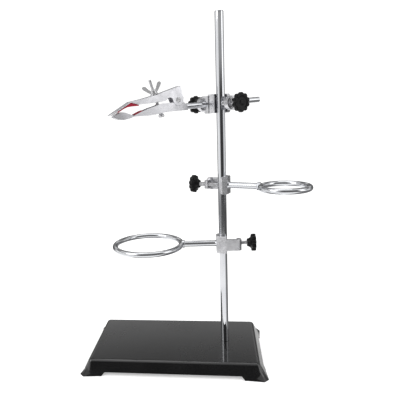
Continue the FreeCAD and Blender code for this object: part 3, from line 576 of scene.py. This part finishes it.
def adjusting_bolt(foot, axis, across):
    """The bolt that draws the jaws together: a ball foot and a threaded shank."""
    start, end, ball = reach("jaw_bolt", foot, axis)
    neck = math.sqrt(ball ** 2 - BOLT_RADIUS ** 2)
    rows = 14
    profile = [(start + 0.0001 * MM, math.sqrt(max(ball ** 2 - start ** 2, 0)))]
    for i in range(1, rows + 1):
        z = start + (neck - start) * i / rows
        profile.append((z, math.sqrt(ball ** 2 - z ** 2)))
    profile.append((ball + 1.5 * MM, BOLT_RADIUS * 0.98))
    shank = thread(ball - 0.4 * MM, end, BOLT_RADIUS, BOLT_PITCH, 0.5 * MM, 32)
    place = axis_frame(foot, axis, across)
    piece("jaw_adjusting_bolt", [(lathe(profile, 48), place), (shank, place)], "jaw_bolt")


def wing_nut(foot, axis):
    """A coned hub and two rounded wings, set the way the CAD's wings point."""
    start, end, span = reach("wing_nut", foot, axis)
    spokes = [v.co - foot for v in nodes["wing_nut"].data.vertices]
    spokes = [spoke - axis * spoke.dot(axis) for spoke in spokes]
    farthest = max(spokes, key=lambda spoke: spoke.length)
    tips = [s for s in spokes if s.length > 0.98 * span and s.dot(farthest) > 0]
    seated = axis_frame(foot, axis, sum(tips, Vector())) @ Matrix.Translation((0, 0, start))
    hub = [
        (0.0, 2.1), (0.0, 4.0), (0.25, 4.4), (0.7, 4.5), (3.2, 4.1), (4.6, 3.7), (4.9, 3.4),
        (5.0, 3.0), (5.0, 2.3),
    ]
    tall = (end - start) / MM
    wing = rounded([
        (2.6, 0.9), (4.6, 1.3), (7.2, 3.4), (10.4, 6.9), (12.3, 9.0), (13.0, 10.6),
        (12.7, 12.3), (11.6, tall - 0.15), (10.0, tall - 0.25), (8.3, 12.1), (6.3, 9.1),
        (4.6, 6.4), (3.0, 4.8), (2.4, 3.0),
    ], 5)
    shells = [(lathe([(z * MM, r * MM) for z, r in hub], 56), seated)]
    for sign in (1, -1):
        shells.append((slab([(sign * x * MM, z * MM) for x, z in wing], 2.2 * MM), seated))
    piece("wing_nut_casting", shells, "wing_nut", bevel=0.45 * MM)


clamp_rod()
refine("lower_jaw", "lower_jaw_pressing", 0.3 * MM)
refine("upper_jaw", "upper_jaw_pressing", 0.3 * MM)
refine("upper_liner", "upper_jaw_liner", 0.5 * MM, 3)
refine("lower_liner", "lower_jaw_liner", 0.4 * MM, 3)
pivot = joints["jaw_pivot"]
jaw_axis = Vector(pivot["axis"])
bolt_foot = Vector(joints["bolt_swing"]["pos_m"])
bolt_axis = Vector(joints["jaw_washer_slide"]["axis"]).normalized()
rivet(Vector(pivot["pos_m"]), jaw_axis)
adjusting_bolt(bolt_foot, bolt_axis, jaw_axis)
refine("jaw_washer", "wing_nut_washer", 0.25 * MM, 2)
wing_nut(bolt_foot, bolt_axis)


# ---- floor, light and camera -------------------------------------------------------------

DAYLIGHT = 1.16
MIDDLE = (0.05, 0.0, 0.22)
TABLE_GLOW, EDGE_GLOW, BACK_GLOW, DARK = 1.15, 0.08, 0.15, 0.05
LEFT_GLOW, SIDE_GLOW, CEILING_GLOW, GAP_GLOW = 1.02, 0.84, 0.62, 0.25


def floor():
    """A plain pale floor just under the feet; gloss sees the studio's table instead."""
    m = Nodes(
        "pale_floor", Specular_IOR_Level=0.2, Emission_Color=(1, 1, 1, 1), Emission_Strength=0.35
    )
    grain = m.noise(60.0, 4.0)
    m.link(
        Base_Color=m.tint(m.spread(grain, 0, 1), (0.76, 0.76, 0.76), (0.74, 0.74, 0.74)),
        Roughness=m.spread(grain, 0.7, 0.8),
    )
    bm = bmesh.new()
    corners = ((-6, -6), (6, -6), (6, 9), (-6, 9))
    bm.faces.new([bm.verts.new((x, y, cad_box[0].z - 0.0002)) for x, y in corners])
    ground = to_object("floor", bm)
    ground.data.materials.append(m.material)
    ground.visible_glossy = False


def studio():
    """White all round to the eye; gloss sees a room with dark and bright zones.

    The zones are laid out by z, the height of a direction from -1 to 1, and by the angle
    round from -Y in radians, positive towards +X: a bright table below, its dark edge, then
    dark straight ahead, bright at both sides and grey behind.
    """
    world = bpy.data.worlds.new("studio")
    bpy.context.scene.world = world
    world.use_nodes = True
    tree = world.node_tree
    tree.nodes.clear()
    link = tree.links.new

    def math_node(kind, *inputs):
        node = tree.nodes.new("ShaderNodeMath")
        node.operation = kind
        for socket, source in zip(node.inputs, inputs):
            if isinstance(source, bpy.types.NodeSocket):
                link(source, socket)
            else:
                socket.default_value = source
        return node.outputs[0]

    def ramp(source, start, stop, low, high):
        node = tree.nodes.new("ShaderNodeMapRange")
        node.interpolation_type = "SMOOTHSTEP"
        link(source, node.inputs["Value"])
        limits = {"From Min": start, "From Max": stop, "To Min": low, "To Max": high}
        for key, value in limits.items():
            node.inputs[key].default_value = value
        return node.outputs["Result"]

    where = tree.nodes.new("ShaderNodeTexCoord").outputs["Generated"]
    parts = tree.nodes.new("ShaderNodeSeparateXYZ")
    link(where, parts.inputs[0])
    x, y, z = parts.outputs
    round_angle = math_node("ARCTAN2", x, math_node("MULTIPLY", y, -1.0))
    aside = math_node("ABSOLUTE", round_angle)

    def mix(weight, first, second):
        step = math_node("SUBTRACT", second, first)
        return math_node("ADD", first, math_node("MULTIPLY", weight, step))

    # straight ahead: dark, with a little haze at eye height, and the ceiling above
    haze = math_node("MULTIPLY", ramp(z, 0.02, 0.12, DARK, 0.40), ramp(z, 0.20, 0.30, 1, 0.14))
    upper = mix(ramp(z, 0.64, 0.80, 0, 1), haze, CEILING_GLOW)

    # both sides: bright walls, with a grey gap between the walls and the ceiling
    gap = math_node("MULTIPLY", ramp(z, 0.30, 0.36, 0, 1), ramp(z, 0.50, 0.58, 1, 0))
    left, right = ramp(round_angle, -0.26, -0.80, 0, 1), ramp(round_angle, 0.80, 1.25, 0, 1)
    upper = mix(left, upper, mix(gap, LEFT_GLOW, GAP_GLOW))
    upper = mix(right, upper, mix(gap, SIDE_GLOW, GAP_GLOW))

    # behind: dim low down, a band of light above that, and the ceiling overhead
    behind = ramp(aside, 1.85, 2.3, 0, 1)
    back = mix(ramp(z, 0.26, 0.36, 0, 1), BACK_GLOW, ramp(z, 0.41, 0.53, 0.62, 0.17))
    back = mix(ramp(z, 0.82, 0.97, 0, 1), back, CEILING_GLOW)
    upper = mix(behind, upper, back)

    # the table: its dark edge, lighter to the left, and its top, shaded at the right
    edge = mix(ramp(round_angle, -0.4, -0.9, 0, 1), EDGE_GLOW, 0.28)
    edge = mix(behind, edge, BACK_GLOW)
    shade = math_node(
        "MULTIPLY", ramp(round_angle, 0.7, 1.3, 0, 1), ramp(round_angle, 2.5, 3.05, 1, 0)
    )
    table = mix(shade, TABLE_GLOW, 0.22)
    room = mix(ramp(z, -0.20, -0.14, 0, 1), edge, upper)
    room = mix(ramp(z, -0.31, -0.27, 1, 0), room, table)

    glossy = tree.nodes.new("ShaderNodeLightPath").outputs["Is Glossy Ray"]
    dimmer = math_node("MULTIPLY", glossy, math_node("SUBTRACT", DAYLIGHT, room))
    level = math_node("SUBTRACT", DAYLIGHT, dimmer)
    shader = tree.nodes.new("ShaderNodeBackground")
    link(level, shader.inputs["Strength"])
    shader.inputs["Color"].default_value = (1, 1, 1, 1)
    out = tree.nodes.new("ShaderNodeOutputWorld")
    link(shader.outputs[0], out.inputs[0])


def softbox(name, place, size, power):
    """A soft rectangular light, aimed at the middle of the stand."""
    light = bpy.data.lights.new(name, "AREA")
    light.shape = "RECTANGLE"
    light.size, light.size_y = size
    light.energy = power
    obj = bpy.data.objects.new(name, light)
    obj.location = place
    obj.rotation_euler = (Vector(MIDDLE) - Vector(place)).to_track_quat("-Z", "Y").to_euler()
    bpy.context.scene.collection.objects.link(obj)


def camera():
    """The viewpoint: a little above the jaws, slightly rolled, and shifted off centre."""
    yaw, pitch, roll_angle = (math.radians(a) for a in (-7.936, 11.735, -2.765))
    place = (0.07075, -0.66060, 0.37662)
    forward = Vector((
        math.sin(yaw) * math.cos(pitch), math.cos(yaw) * math.cos(pitch), -math.sin(pitch)
    ))
    right = Vector((math.cos(yaw), -math.sin(yaw), 0))
    upward = right.cross(forward)
    c, s = math.cos(roll_angle), math.sin(roll_angle)
    x, y = c * right + s * upward, c * upward - s * right
    data = bpy.data.cameras.new("camera")
    data.sensor_width, data.lens = 36.0, 41.239
    data.shift_x, data.shift_y = 0.11038, 0.01052
    data.clip_start, data.clip_end = 0.01, 50
    obj = bpy.data.objects.new("camera", data)
    turn = Matrix((x, y, -forward)).transposed().to_4x4()
    obj.matrix_world = Matrix.Translation(place) @ turn
    bpy.context.scene.collection.objects.link(obj)
    bpy.context.scene.camera = obj


floor()
studio()
softbox("key_softbox", (-1.3, -0.9, 1.3), (0.9, 1.1), 8.0)
softbox("fill_softbox", (1.5, -0.5, 0.9), (0.7, 1.1), 2.5)
softbox("top_softbox", (0.0, 0.35, 1.9), (1.2, 1.2), 4.0)
camera()
bpy.context.scene.view_settings.view_transform = "Standard"
